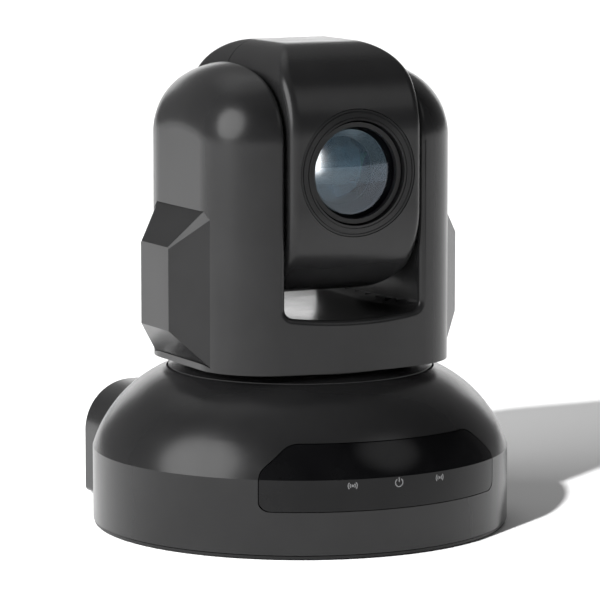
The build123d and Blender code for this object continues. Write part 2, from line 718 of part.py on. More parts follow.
def drive_board():
    """Motor driver board in the right arm, on two blocks against the frame."""
    outer = FRAME_X0 + FRAME_T
    inner_x = outer + DRIVE_BOARD_GAP
    outer_x = inner_x + BOARD_T
    board = block((inner_x, outer_x), (-13.0, 13.0), DRIVE_BOARD_Z)
    for z in (DRIVE_BOARD_Z[0] + 3.0, DRIVE_BOARD_Z[1] - 3.0):
        board += block((outer, inner_x), (-3.0, 3.0), (z - 2, z + 2))
    board += block((outer_x, outer_x + 1.6), (-5.0, 5.0), (70.0, 80.0))
    return board + block((outer_x, outer_x + 3.4), (-8.0, 8.0), (88.0, 94.0))


# ---- Tilt drive ----
def tilt_motor_shaft():
    return rod_x(SHAFT_R, -(TILT_MOTOR_X0 + TILT_MOTOR_LENGTH - 3.2), -28.2, 0, TILT_MOTOR_Z)


def tilt_pinion():
    """One gap between teeth faces straight up, to mesh with the gear's lowest tooth."""
    face = gear_face(PINION_TEETH, 90 + 180 / PINION_TEETH) - Circle(SHAFT_R)
    return along_x(Pos(0, TILT_MOTOR_Z) * face, -TILT_GEAR_X0 - TILT_GEAR_T, -TILT_GEAR_X0)


def tilt_gear():
    face = gear_face(GEAR_TEETH, 270) - Circle(TRUNNION_R)
    for angle in range(0, 360, 60):
        face -= Pos(*polar(14.0, angle)) * Circle(3.6)
    return along_x(Pos(0, TILT_Z) * face, -TILT_GEAR_X0 - TILT_GEAR_T, -TILT_GEAR_X0)


# ---- Head ----
def head_outline(inset):
    """Front view of the head about the tilt axis: round corners, a little taller than its side view."""
    face = Rectangle(2 * (HEAD_HALF_X - inset), 2 * (HEAD_HALF_Z + HEAD_SHOULDER - inset))
    return fillet(face.vertices(), HEAD_SIDE_CORNER_R - inset)


def head_profile(inset):
    """Side view of the head about the tilt axis: flat front and back with wide corners."""
    y0 = HEAD_FRONT_Y + inset
    y1 = HEAD_REAR_Y - inset
    face = Pos((y0 + y1) / 2, 0) * Rectangle(y1 - y0, 2 * (HEAD_HALF_Z - inset))
    face = fillet([v for v in face.vertices() if v.X < 0], HEAD_FRONT_CORNER_R - inset)
    return fillet([v for v in face.vertices() if abs(v.X - y1) < 0.001], HEAD_REAR_CORNER_R - inset)


def head_envelope(inset=0.0):
    """Head about the tilt axis: what its front view and its side view both hold."""
    reach = (-60, 60)
    return along_y(head_outline(inset), *reach) & along_x(head_profile(inset), *reach)


def softened(head):
    """Rounds the crease between the head's sides and the front, top and back that wrap round it."""
    corner_r = HEAD_SIDE_CORNER_R
    crease_x = HEAD_HALF_X - corner_r + sqrt(corner_r**2 - (corner_r - HEAD_SHOULDER) ** 2)
    creases = []
    for e in head.edges():
        start, end = e @ 0, e @ 1
        straight = e.geom_type == GeomType.LINE
        along_width = straight and abs(start.X - end.X) > 0.01
        seam = straight and abs(start.Y - end.Y) > 0.01 and abs(abs(start.X) - crease_x) > 0.01
        if not along_width and not seam:
            creases.append(e)
    return fillet(creases, HEAD_EDGE_R)


def head_casing():
    casing = Pos(0, 0, TILT_Z) * (softened(head_envelope()) - head_envelope(HEAD_WALL))
    casing -= rod_y(TRIM_R + 0.2, -45, -30, 0, TILT_Z)
    casing -= rod_x(TRUNNION_R + 0.4, -30, 30, 0, TILT_Z)
    reach = (-60, 60)
    ring_groove = block(reach, (HEAD_SPLIT_Y - 0.15, HEAD_SPLIT_Y + 0.15), (60, 160))
    return casing - (ring_groove - Pos(0, 0, TILT_Z) * head_envelope(SEAM_DEPTH))


def lens_trim():
    """Ring around the lens that follows the head's front, with two fine grooves in its face."""
    body = rod_y(TRIM_R, -45, -33.0) - rod_y(TRIM_BORE_R, -46, -30)
    body &= head_envelope(TRIM_SINK)
    floor = head_envelope(TRIM_SINK + TRIM_GROOVE_DEPTH)
    for radius in TRIM_GROOVE_RADII:
        body -= (rod_y(radius, -45, -30) - rod_y(radius - TRIM_GROOVE_WIDTH, -46, -29)) - floor
    return Pos(0, 0, TILT_Z) * body


def lens_barrel():
    """Fixed barrel of the camera block, with the front lens's seat in its mouth."""
    barrel = rod_y(BARREL_R, BARREL_Y, BLOCK_Y[0], 0, TILT_Z)
    barrel -= rod_y(BARREL_BORE_R, -50, 0, 0, TILT_Z)
    return barrel - rod_y(BARREL_MOUTH_R, -50, LENS_BACK_Y, 0, TILT_Z)


def front_lens():
    """Convex front element with an upright rim."""
    sphere_r = (LENS_R**2 + LENS_BULGE**2) / (2 * LENS_BULGE)
    body = rod_y(LENS_R, -45, LENS_BACK_Y, 0, TILT_Z)
    return body & (Pos(0, LENS_RIM_Y - LENS_BULGE + sphere_r, TILT_Z) * Sphere(sphere_r))


def camera_block():
    """Hollow housing behind the barrel, open to it at the front and closed by the sensor board."""
    y0, y1 = BLOCK_Y
    z = (TILT_Z - BLOCK_HALF_Z, TILT_Z + BLOCK_HALF_Z)
    wall = BLOCK_WALL
    body = block((-BLOCK_HALF_X, BLOCK_HALF_X), (y0, y1), z)
    inner_x = (wall - BLOCK_HALF_X, BLOCK_HALF_X - wall)
    body -= block(inner_x, (y0 + wall, y1 + 1), (z[0] + wall, z[1] - wall))
    return body - rod_y(BARREL_BORE_R, y0 - 1, y0 + 3, 0, TILT_Z)


def sensor_board():
    y1 = BLOCK_Y[1]
    half_x = BLOCK_HALF_X - 1.0
    half_z = BLOCK_HALF_Z - 2.0
    return block((-half_x, half_x), (y1, y1 + 1.4), (TILT_Z - half_z, TILT_Z + half_z))


def image_sensor():
    y1 = BLOCK_Y[1]
    return block((-5.0, 5.0), (y1 - 1.8, y1), (TILT_Z - 4.5, TILT_Z + 4.5))


def guide_rods():
    """Two rods that the focus cell slides on."""
    y = (BLOCK_Y[0] + BLOCK_WALL, BLOCK_Y[1])
    return Compound([rod_y(GUIDE_R, *y, x, TILT_Z) for x in (-GUIDE_X, GUIDE_X)])


def lens_cell(y, length):
    """Ring that holds a moving lens."""
    cell = rod_y(CELL_R, y - length / 2, y + length / 2, 0, TILT_Z)
    return cell - rod_y(CELL_LENS_R, y - 20, y + 20, 0, TILT_Z)


def cell_lens(y, thickness):
    """Biconvex element that fills its cell."""
    sphere_r = 24.0
    edge = sphere_r - sqrt(sphere_r**2 - CELL_LENS_R**2)
    offset = sphere_r - edge - thickness / 2
    lens = Pos(0, y - offset, TILT_Z) * Sphere(sphere_r) & Pos(0, y + offset, TILT_Z) * Sphere(sphere_r)
    return lens & rod_y(CELL_LENS_R, y - 20, y + 20, 0, TILT_Z)


def focus_cell():
    """Lens cell with an ear on each guide rod."""
    cell = lens_cell(FOCUS_Y, 5.0)
    for x in (-GUIDE_X, GUIDE_X):
        ear = rod_y(1.9, FOCUS_Y - 2.5, FOCUS_Y + 2.5, x, TILT_Z)
        cell += ear - rod_y(CELL_LENS_R, -20, 40, 0, TILT_Z)
    for x in (-GUIDE_X, GUIDE_X):
        cell -= rod_y(GUIDE_R + RUNNING_GAP, -20, 40, x, TILT_Z)
    return cell


def head_frame():
    """Metal cradle that carries the camera block between the trunnions."""
    outer = CHEEK_X0 + CHEEK_T
    z0 = TILT_Z - BLOCK_HALF_Z - CHEEK_T - 0.1
    z1 = TILT_Z + 16.0
    y = (-10.0, 18.0)
    cheek = Pos(sum(y) / 2, (z0 + z1) / 2) * Rectangle(y[1] - y[0], z1 - z0)
    cheek = fillet([v for v in cheek.vertices() if v.Y > TILT_Z], 6.0)
    frame = along_x(cheek, CHEEK_X0, outer) + along_x(cheek, -outer, -CHEEK_X0)
    frame += block((-outer, outer), y, (z0, z0 + CHEEK_T))
    return frame - rod_x(TRUNNION_R, -30, 30, 0, TILT_Z)


def trunnion(side, end_x):
    """Hollow shaft with a flange inside the head's frame."""
    shaft = rod_x(TRUNNION_R, side * (CHEEK_X0 - 1), side * end_x, 0, TILT_Z)
    shaft += rod_x(8.0, side * (CHEEK_X0 - 1.4), side * CHEEK_X0, 0, TILT_Z)
    return shaft - rod_x(TRUNNION_BORE_R, side * 10, side * 40, 0, TILT_Z)


def main():
    os.makedirs("parts", exist_ok=True)
    # Base
    save("base_shell", base_shell())
    save("base_plate", base_plate())
    save("rubber_feet", ring(four(FOOT_XY, FOOT_XY), rod_z(FOOT_R, 0, 1.2)))
    save("tripod_insert", tripod_insert())
    save("base_screws", ring(four(BOSS_X, BOSS_Y), screw(1.2, 9.0, 2.9, 0.9, 1.6)))
    save("ir_window", ir_window())
    save("indicator_board", indicator_board())
    save("ir_receivers", ir_receivers())
    save("power_led", power_led())
    save("rear_hood", rear_hood())
    save("connector_panel", connector_panel())
    save("dc_jack", dc_jack())
    save("usb_socket", usb_socket())
    save("control_sockets", Compound([control_socket(x) for x in CONTROL_X]))
    save("main_board", main_board())
    save("board_chips", board_chips())
    save("board_standoffs", board_standoffs())
    save("chassis_pillars", chassis_pillars())
    save("inner_screws", inner_screws())
    # Pan drive
    save("pan_chassis", pan_chassis())
    save("pan_bearing", pan_bearing())
    save("pan_motor", pan_motor())
    save("pan_motor_shaft", pan_motor_shaft())
    save("pan_pinion", pan_pinion())
    save("pan_home_sensor", pan_home_sensor())
    save("pan_gear", pan_gear())
    save("pan_spindle", pan_spindle())
    save("pan_retaining_ring", pan_retaining_ring())
    save("turntable", turntable())
    # Yoke
    casing = yoke_casing()
    reach = (-60, 60)
    save("yoke_front", casing & block(reach, (-60, YOKE_SPLIT_Y), (50, 160)))
    save("yoke_rear", casing & block(reach, (YOKE_SPLIT_Y, 60), (50, 160)))
    save("left_side_cover", side_cover(-1))
    save("right_side_cover", side_cover(1))
    save("yoke_frame", yoke_frame())
    save("yoke_screws", yoke_screws())
    save("tilt_motor", tilt_motor())
    save("tilt_motor_spacers", tilt_motor_spacers())
    save("left_tilt_bush", tilt_bush(-1))
    save("right_tilt_bush", tilt_bush(1))
    save("drive_board", drive_board())
    save("tilt_motor_shaft", tilt_motor_shaft())
    save("tilt_pinion", tilt_pinion())
    # Head
    casing = head_casing()
    save("head_front", casing & block(reach, (-60, HEAD_SPLIT_Y), (50, 170)))
    save("head_rear", casing & block(reach, (HEAD_SPLIT_Y, 60), (50, 170)))
    save("lens_trim", lens_trim())
    save("lens_barrel", lens_barrel())
    save("front_lens", front_lens())
    save("camera_block", camera_block())
    save("sensor_board", sensor_board())
    save("image_sensor", image_sensor())
    save("guide_rods", guide_rods())
    save("head_frame", head_frame())
    save("left_trunnion", trunnion(-1, 32.4))
    save("right_trunnion", trunnion(1, 29.0))
    save("tilt_gear", tilt_gear())
    save("zoom_cell", lens_cell(ZOOM_Y, 5.0))
    save("zoom_lens", cell_lens(ZOOM_Y, 4.0))
    save("focus_cell", focus_cell())
    save("focus_lens", cell_lens(FOCUS_Y, 4.0))


main()
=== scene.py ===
import json
from math import asin, cos, pi, radians, sin, tau

import bmesh
import bpy
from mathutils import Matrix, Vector


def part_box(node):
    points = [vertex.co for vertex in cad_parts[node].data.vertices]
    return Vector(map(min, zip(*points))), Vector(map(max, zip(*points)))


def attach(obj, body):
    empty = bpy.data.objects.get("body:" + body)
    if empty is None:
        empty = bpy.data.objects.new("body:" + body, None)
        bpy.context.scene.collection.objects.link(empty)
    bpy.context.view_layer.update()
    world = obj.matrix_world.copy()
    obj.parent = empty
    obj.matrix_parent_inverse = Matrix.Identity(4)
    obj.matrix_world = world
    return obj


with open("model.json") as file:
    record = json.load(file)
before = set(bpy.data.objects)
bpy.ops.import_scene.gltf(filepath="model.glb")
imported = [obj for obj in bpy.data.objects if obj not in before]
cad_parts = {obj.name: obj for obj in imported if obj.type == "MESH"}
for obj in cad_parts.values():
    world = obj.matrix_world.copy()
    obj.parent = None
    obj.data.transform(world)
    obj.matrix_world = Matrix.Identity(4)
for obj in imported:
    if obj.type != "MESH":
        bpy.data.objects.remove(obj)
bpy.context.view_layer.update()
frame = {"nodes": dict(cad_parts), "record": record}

# Pan-tilt-zoom camera. Metres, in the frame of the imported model: +Z up, the lens looks along -Y.

# ---- Sizes of CAD pieces that their boxes don't give ----
RECEIVER_HALF = 0.003
LENS_RIM_Y = -0.0354
BARREL_BORE_R = 0.0122
JACK_BORE_R = 0.0033
CONTROL_BORE_R = 0.0046
CONTROL_HALF = 0.007

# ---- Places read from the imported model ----
BASE_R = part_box("base_shell")[1].x
LED_LOW, LED_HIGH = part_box("power_led")
SIGNAL_Z = (LED_LOW.z + LED_HIGH.z) / 2
SIGNAL_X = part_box("ir_receivers")[1].x - RECEIVER_HALF
LENS_LOW, LENS_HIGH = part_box("front_lens")
LENS_Z = (LENS_LOW.z + LENS_HIGH.z) / 2
LENS_R = LENS_HIGH.x
CELL_FRONT_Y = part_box("zoom_cell")[0].y
PANEL_LOW, PANEL_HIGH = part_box("connector_panel")
JACK_LOW, JACK_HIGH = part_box("dc_jack")
CONTROL_LOW, CONTROL_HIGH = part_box("control_sockets")
SOCKET_MOUTH_Y = CONTROL_HIGH.y

# ---- Added pieces ----
SIGN_HALF = 0.0014
SIGN_LINE = 0.00034
SIGN_ARC_RADII = (0.0008, 0.0014)
SIGN_ARC_SPREAD = 42
SIGN_DOT_R = SIGN_LINE * 1.15
POWER_BAR_Z = (0.0002, SIGN_HALF + 0.0002)
INK_PROUD = 0.00004
INK_SUNK = 0.00006
COATING_COVER = 0.985
COATING_PROUD = 0.00003
COATING_RINGS = 24
COATING_STEPS = 120
BAFFLE_COUNT = 4
BAFFLE_DEPTH = 0.0012
BAFFLE_STEP = 0.0002
BAFFLE_ROOT = 0.0005
BAFFLE_GAP = 0.0001
BAFFLE_ENDS = (0.0002, 0.0004)
FITTING_STEPS = 64
# Half section of a socket's lip: radius beyond the bore, and height above the socket's mouth.
COLLAR_SECTION = (
    (0.00022, -0.0003),
    (0.00022, 0.0001),
    (0.0, 0.00028),
    (-0.00022, 0.0001),
    (-0.00022, -0.006),
    (-0.00005, -0.006),
    (-0.00005, -0.0003),
)
PANEL_SCREW_INSET = 0.004
PANEL_SCREW_Z = (PANEL_LOW.z + PANEL_HIGH.z) / 2
# Half section of a panel screw's head: radius, and height above the panel.
PANEL_SCREW_HEAD = (
    (0.00005, -0.0004),
    (0.00005, 0.00002),
    (0.0005, 0.00004),
    (0.0007, 0.0003),
    (0.0012, 0.00026),
    (0.0016, 0.0001),
    (0.0016, -0.0004),
)

# ---- Finish ----
HOUSING_GLOSS = 0.24
SURFACE_SHEEN = 0.3
WINDOW_SHEEN = 0.2
BRUSHED = (1.0, 1.0, 14.0)
TURNED_BRASS = (12.0, 1.0, 1.0)

# ---- View ----
CAMERA_AZIMUTH = radians(27.12)
CAMERA_REACH = 1.15
CAMERA_HEIGHT = 0.2284
CAMERA_TARGET = Vector((0, 0, 0.0695))
CAMERA_LENS = 222.95
SENSOR_WIDTH = 36.0
VIEW_LIMIT = 60.0
FLOOR_SIZE = 30.0
FLOOR_WHITE = 0.82

# ---- Light: the sun's azimuth runs from +X towards +Y, and the others from -Y towards +X ----
SUN_AZIMUTH = radians(213)
SUN_ELEVATION = radians(32)
SUN_STRENGTH = 7.0
SUN_ANGLE = radians(2.5)
WALL_TONE = 1.35
CEILING_TONE = 0.75
OVERHEAD_TONE = 5.0
# Each patch of the surroundings: its aim as (azimuth, elevation) and its (inner, outer) angle.
GAP_AIM = (27.0, 6.0)
GAP_SPREAD = (8.0, 26.0)
GAP_TONE = 0.4
FRONT_BOX_AIM = (33.0, 39.0)
FRONT_BOX_SPREAD = (4.0, 20.0)
FRONT_BOX_TONE = 20.0
BACK_BOX_AIM = (180.0, 62.0)
BACK_BOX_SPREAD = (10.0, 30.0)
BACK_BOX_TONE = 11.0
SIDE_BOX_TONE = 6.0
SIDE_BOX_SIZE = (1.4, 1.4)
SIDE_BOX_AZIMUTH = -88.0
SIDE_BOX_REACH = 1.5
SIDE_BOX_HEIGHT = 0.8
GLOW_TONE = 1.5
GLOW_SIZE = (1.6, 0.5)
GLOW_AZIMUTH = 153.0
GLOW_REACH = 1.5
GLOW_HEIGHT = 0.33
GLINT_TONE = 130.0
GLINT_SIZE = (0.2, 0.3)
GLINT_AZIMUTH = -14.0
GLINT_REACH = 0.9
GLINT_HEIGHT = 0.2


# ---- Node helpers ----
def new_material(name):
    material = bpy.data.materials.new(name)
    material.use_nodes = True
    return material, material.node_tree.nodes, material.node_tree.links


def noise(nodes, links, scale, detail, vector, stretch=None):
    """Noise texture in the object's own metres, with its features stretched along an axis if asked."""
    if stretch:
        mapping = nodes.new("ShaderNodeMapping")
        mapping.inputs["Scale"].default_value = stretch
        links.new(vector, mapping.inputs["Vector"])
        vector = mapping.outputs["Vector"]
    texture = nodes.new("ShaderNodeTexNoise")
    texture.inputs["Scale"].default_value = scale
    texture.inputs["Detail"].default_value = detail
    links.new(vector, texture.inputs["Vector"])
    return texture.outputs["Fac"]


def remap(nodes, links, value, low, high, start=0.3, end=0.7):
    node = nodes.new("ShaderNodeMapRange")
    node.inputs["From Min"].default_value = start
    node.inputs["From Max"].default_value = end
    node.inputs["To Min"].default_value = low
    node.inputs["To Max"].default_value = high
    links.new(value, node.inputs["Value"])
    return node.outputs["Result"]


def ramp(nodes, links, value, low_color, high_color, start=0.35, end=0.65):
    node = nodes.new("ShaderNodeValToRGB")
    node.color_ramp.elements[0].position = start
    node.color_ramp.elements[0].color = (*low_color, 1)
    node.color_ramp.elements[1].position = end
    node.color_ramp.elements[1].color = (*high_color, 1)
    links.new(value, node.inputs["Fac"])
    return node.outputs["Color"]


def shade(color, factor):
    return tuple(min(1.0, c * factor) for c in color)


def surface(
    name, color, roughness, metallic=0.0, grain=2400.0, depth=0.00001, mottle=0.12, stretch=None, coat=0.0
):
    """Moulded, machined or painted surface: fine grain in the bump, soft mottling in colour and gloss."""
    material, nodes, links = new_material(name)
    shader = nodes["Principled BSDF"]
    vector = nodes.new("ShaderNodeTexCoord").outputs["Object"]
    broad = noise(nodes, links, 45.0, 4.0, vector)
    tone = ramp(nodes, links, broad, shade(color, 1 - mottle), shade(color, 1 + mottle))
    links.new(tone, shader.inputs["Base Color"])
    smudge = noise(nodes, links, 90.0, 6.0, vector, (1.0, 1.0, 0.45))
    gloss = remap(nodes, links, smudge, roughness * 0.9, roughness * 1.12)
    links.new(gloss, shader.inputs["Roughness"])
    shader.inputs["Metallic"].default_value = metallic
    shader.inputs["Specular IOR Level"].default_value = SURFACE_SHEEN
    shader.inputs["Coat Weight"].default_value = coat
    shader.inputs["Coat Roughness"].default_value = 0.12
    fine = noise(nodes, links, grain, 3.0, vector, stretch)
    bump = nodes.new("ShaderNodeBump")
    bump.inputs["Strength"].default_value = 1.0
    bump.inputs["Distance"].default_value = depth
    links.new(fine, bump.inputs["Height"])
    links.new(bump.outputs["Normal"], shader.inputs["Normal"])
    return material


def smoked_window():
    """Polished smoked plastic with hairline handling marks and a little dust in its gloss."""
    material, nodes, links = new_material("smoked_window")
    shader = nodes["Principled BSDF"]
    vector = nodes.new("ShaderNodeTexCoord").outputs["Object"]
    haze = noise(nodes, links, 60.0, 5.0, vector)
    tone = ramp(nodes, links, haze, (0.003, 0.003, 0.0035), (0.006, 0.006, 0.0065))
    links.new(tone, shader.inputs["Base Color"])
    marks = noise(nodes, links, 220.0, 8.0, vector, (1.0, 1.0, 9.0))
    links.new(remap(nodes, links, marks, 0.08, 0.13), shader.inputs["Roughness"])
    shader.inputs["IOR"].default_value = 1.49
    shader.inputs["Specular IOR Level"].default_value = WINDOW_SHEEN
    ripple = noise(nodes, links, 75.0, 2.0, vector)
    bump = nodes.new("ShaderNodeBump")
    bump.inputs["Strength"].default_value = 0.6
    bump.inputs["Distance"].default_value = 0.00002
    links.new(ripple, bump.inputs["Height"])
    links.new(bump.outputs["Normal"], shader.inputs["Normal"])
    return material


def coated_glass(name, face_color, edge_color, reflect, haze=0.02):
    """Clear glass under an anti-reflection coating, whose tint shifts from the middle towards grazing."""
    material, nodes, links = new_material(name)
    output = nodes["Material Output"]
    nodes.remove(nodes["Principled BSDF"])
    vector = nodes.new("ShaderNodeTexCoord").outputs["Object"]
    glass = nodes.new("ShaderNodeBsdfRefraction")
    glass.inputs["IOR"].default_value = 1.52
    glass.inputs["Roughness"].default_value = 0.0
    glass.inputs["Color"].default_value = (0.78, 0.86, 0.9, 1)
    gloss = nodes.new("ShaderNodeBsdfAnisotropic")
    dust = noise(nodes, links, 120.0, 2.0, vector)
    links.new(remap(nodes, links, dust, haze, haze * 2.5), gloss.inputs["Roughness"])
    facing = nodes.new("ShaderNodeLayerWeight")
    facing.inputs["Blend"].default_value = 0.35
    tint = ramp(nodes, links, facing.outputs["Facing"], face_color, edge_color, 0.05, 0.8)
    links.new(tint, gloss.inputs["Color"])
    weight = remap(nodes, links, facing.outputs["Fresnel"], reflect, 1.0, 0.0, 1.0)
    mix = nodes.new("ShaderNodeMixShader")
    links.new(weight, mix.inputs["Fac"])
    links.new(glass.outputs["BSDF"], mix.inputs[1])
    links.new(gloss.outputs["BSDF"], mix.inputs[2])
    links.new(mix.outputs["Shader"], output.inputs["Surface"])
    return material


def slot_materials():
    """One finished material for each of the record's slots."""
    finishes = {
        "housing_plastic": surface(
            "housing_plastic", (0.017, 0.017, 0.0175), HOUSING_GLOSS, grain=2600.0, depth=0.000004
        ),
        "inner_plastic": surface("inner_plastic", (0.01, 0.01, 0.0105), 0.42, grain=3200.0, depth=0.000008),
        "smoked_window": smoked_window(),
        "lens_glass": coated_glass("lens_glass", (0.6, 0.72, 0.82), (0.8, 0.66, 0.92), 0.011),
        "rubber": surface("rubber", (0.014, 0.014, 0.014), 0.75, grain=1500.0, depth=0.00003),
        "steel": surface("steel", (0.56, 0.56, 0.57), 0.3, 1.0, 900.0, 0.000004, 0.06, BRUSHED),
        "screw_steel": surface("screw_steel", (0.05, 0.05, 0.055), 0.36, 0.8, 1800.0, 0.000006, 0.15),
        "aluminium": surface("aluminium", (0.66, 0.67, 0.68), 0.38, 1.0, 1500.0, 0.000006, 0.05, BRUSHED),
        "brass": surface("brass", (0.72, 0.5, 0.2), 0.28, 1.0, 1300.0, 0.000006, 0.08, TURNED_BRASS),
        "circuit_board": surface(
            "circuit_board", (0.01, 0.09, 0.035), 0.3, grain=700.0, mottle=0.2, coat=0.5
        ),
        "chip_plastic": surface("chip_plastic", (0.012, 0.012, 0.013), 0.55, grain=3000.0, depth=0.00001),
        "gear_plastic": surface(
            "gear_plastic", (0.72, 0.69, 0.6), 0.42, grain=1800.0, depth=0.000006, mottle=0.04
        ),
        "lamp": surface("lamp", (0.6, 0.66, 0.63), 0.25, grain=900.0, depth=0.000004, mottle=0.05),
    }
    return finishes


def floor_material():
    """Matt pale paper with the faintest cloud in its tone."""
    material, nodes, links = new_material("floor")
    shader = nodes["Principled BSDF"]
    vector = nodes.new("ShaderNodeTexCoord").outputs["Object"]
    cloud = noise(nodes, links, 3.0, 2.0, vector)
    tones = (FLOOR_WHITE * 0.99,) * 3, (FLOOR_WHITE * 1.01,) * 3
    links.new(ramp(nodes, links, cloud, *tones), shader.inputs["Base Color"])
    shader.inputs["Roughness"].default_value = 1.0
    shader.inputs["Specular IOR Level"].default_value = 0.0
    return material


# ---- Mesh helpers ----
def finish_piece(name, mesh_data, material, body, smooth=False):
    piece = bpy.data.objects.new(name, mesh_data)
    bpy.context.scene.collection.objects.link(piece)
    mesh_data.materials.append(material)
    if smooth:
        mesh_data.shade_smooth()
    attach(piece, body)
    return piece


def mesh_from(name, bm):
    bmesh.ops.recalc_face_normals(bm, faces=bm.faces)
    mesh_data = bpy.data.meshes.new(name)
    bm.to_mesh(mesh_data)
    bm.free()
    return mesh_data


def strip(bm, outline_pairs, place):
    """Closed plate from pairs of (outer, inner) points; place(u, v, proud) gives a point in space."""
    rows = []
    for outer, inner in outline_pairs:
        corners = ((outer, 1), (inner, 1), (inner, 0), (outer, 0))
        rows.append([bm.verts.new(place(*p, proud)) for p, proud in corners])
    for a, b in zip(rows, rows[1:]):
        for i in range(4):
            j = (i + 1) % 4
            bm.faces.new((a[i], a[j], b[j], b[i]))
    bm.faces.new(rows[0])
    bm.faces.new(list(reversed(rows[-1])))


def arc_pairs(inner, outer, start, end, steps=20):
    angles = [radians(start + (end - start) * i / steps) for i in range(steps + 1)]
    return [((outer * cos(a), outer * sin(a)), (inner * cos(a), inner * sin(a))) for a in angles]


def bar_pairs(half_u, low_v, high_v):
    return [((-half_u, v), (half_u, v)) for v in (low_v, high_v)]


# ---- Signs on the window ----
def window_place(angle):
    """Wraps a flat sign onto the round window at an angle from the front."""

    def place(u, v, proud):
        radius = BASE_R + (INK_PROUD if proud else -INK_SUNK)
        turn = angle + u / BASE_R
        return radius * sin(turn), -radius * cos(turn), SIGNAL_Z + v

    return place


def power_sign(material):
    """Open ring with an upright bar."""
    bm = bmesh.new()
    place = window_place(0.0)
    strip(bm, arc_pairs(SIGN_HALF - SIGN_LINE, SIGN_HALF, 125, 415, 40), place)
    strip(bm, bar_pairs(SIGN_LINE / 2, *POWER_BAR_Z), place)
    return finish_piece("power_sign", mesh_from("power_sign", bm), material, "base")


def remote_sign(name, angle, material):
    """Dot with two arcs on each side, for the remote control's receiver."""
    bm = bmesh.new()
    place = window_place(angle)
    strip(bm, arc_pairs(0.00001, SIGN_DOT_R, 0, 359.9, 24), place)
    half_line = SIGN_LINE * 0.45
    for radius in SIGN_ARC_RADII:
        for centre in (0, 180):
            ends = (centre - SIGN_ARC_SPREAD, centre + SIGN_ARC_SPREAD)
            strip(bm, arc_pairs(radius - half_line, radius + half_line, *ends), place)
    return finish_piece(name, mesh_from(name, bm), material, "base")


# ---- Pieces turned about an axis that runs front to back ----
def turned(name, centre, outline, material, body, steps=120):
    """Ring about the line through centre (x, z), from a closed outline of (radius, y) points."""
    bm = bmesh.new()
    rings = []
    for i in range(steps):
        u = cos(tau * i / steps)
        v = sin(tau * i / steps)
        rings.append([bm.verts.new((centre[0] + r * u, y, centre[1] + r * v)) for r, y in outline])
    count = len(outline)
    for i in range(steps):
        a, b = rings[i], rings[(i + 1) % steps]
        for k in range(count):
            n = (k + 1) % count
            bm.faces.new((a[k], a[n], b[n], b[k]))
    return finish_piece(name, mesh_from(name, bm), material, body)


def coating_material():
    """Clear film whose only visible trace is a faint pale reflection with a few soft smears."""
    material, nodes, links = new_material("lens_coating")
    output = nodes["Material Output"]
    nodes.remove(nodes["Principled BSDF"])
    vector = nodes.new("ShaderNodeTexCoord").outputs["Object"]
    clear = nodes.new("ShaderNodeBsdfTransparent")
    gloss = nodes.new("ShaderNodeBsdfAnisotropic")
    gloss.inputs["Color"].default_value = (0.93, 0.97, 1.0, 1)
    smears = noise(nodes, links, 110.0, 3.0, vector, (1.0, 1.0, 0.5))
    links.new(remap(nodes, links, smears, 0.1, 0.2), gloss.inputs["Roughness"])
    mix = nodes.new("ShaderNodeMixShader")
    links.new(remap(nodes, links, smears, 0.011, 0.017), mix.inputs["Fac"])
    links.new(clear.outputs["BSDF"], mix.inputs[1])
    links.new(gloss.outputs["BSDF"], mix.inputs[2])
    links.new(mix.outputs["Shader"], output.inputs["Surface"])
    return material


def lens_coating():
    """Thin domed film on the front lens, whose dome follows the lens's own."""
    bulge = LENS_RIM_Y - LENS_LOW.y
    sphere_r = (LENS_R**2 + bulge**2) / (2 * bulge)
    centre_y = LENS_LOW.y + sphere_r
    radii = [LENS_R * COATING_COVER * i / COATING_RINGS for i in range(1, COATING_RINGS + 1)]
    bm = bmesh.new()
    apex = bm.verts.new((0.0, LENS_LOW.y - COATING_PROUD, LENS_Z))
    rings = []
    for r in radii:
        y = centre_y - ((sphere_r + COATING_PROUD) ** 2 - r**2) ** 0.5
        turns = [tau * k / COATING_STEPS for k in range(COATING_STEPS)]
        rings.append([bm.verts.new((r * cos(t), y, LENS_Z + r * sin(t))) for t in turns])
    for k in range(COATING_STEPS):
        n = (k + 1) % COATING_STEPS
        bm.faces.new((apex, rings[0][k], rings[0][n]))
        for near, far in zip(rings, rings[1:]):
            bm.faces.new((near[k], far[k], far[n], near[n]))
    film = mesh_from("lens_coating", bm)
    return finish_piece("lens_coating", film, coating_material(), "head", True)


def light_baffles(material):
    """Stepped black rings inside the barrel, between the front lens and the zoom cell."""
    front = LENS_HIGH.y + BAFFLE_ENDS[0]
    back = CELL_FRONT_Y - BAFFLE_ENDS[1]
    pitch = (back - front) / BAFFLE_COUNT
    outline = [(BARREL_BORE_R - BAFFLE_GAP, front)]
    for i in range(BAFFLE_COUNT):
        inner = BARREL_BORE_R - BAFFLE_DEPTH - BAFFLE_STEP * i
        outline.append((inner, front + pitch * i))
        outline.append((BARREL_BORE_R - BAFFLE_ROOT, front + pitch * (i + 0.8)))
    outline.append((BARREL_BORE_R - BAFFLE_GAP, back))
    return turned("light_baffles", (0.0, LENS_Z), outline, material, "head")


def socket_collar(name, centre, bore_r, material):
    """Rolled metal lip in the mouth of a round socket."""
    outline = [(bore_r + beyond, SOCKET_MOUTH_Y + proud) for beyond, proud in COLLAR_SECTION]
    return turned(name, centre, outline, material, "base", FITTING_STEPS)


def panel_screw(name, x, material):
    """Pan-head screw that holds the connector panel, with a dished round recess."""
    outline = [(r, PANEL_HIGH.y + proud) for r, proud in PANEL_SCREW_HEAD]
    return turned(name, (x, PANEL_SCREW_Z), outline, material, "base", FITTING_STEPS)


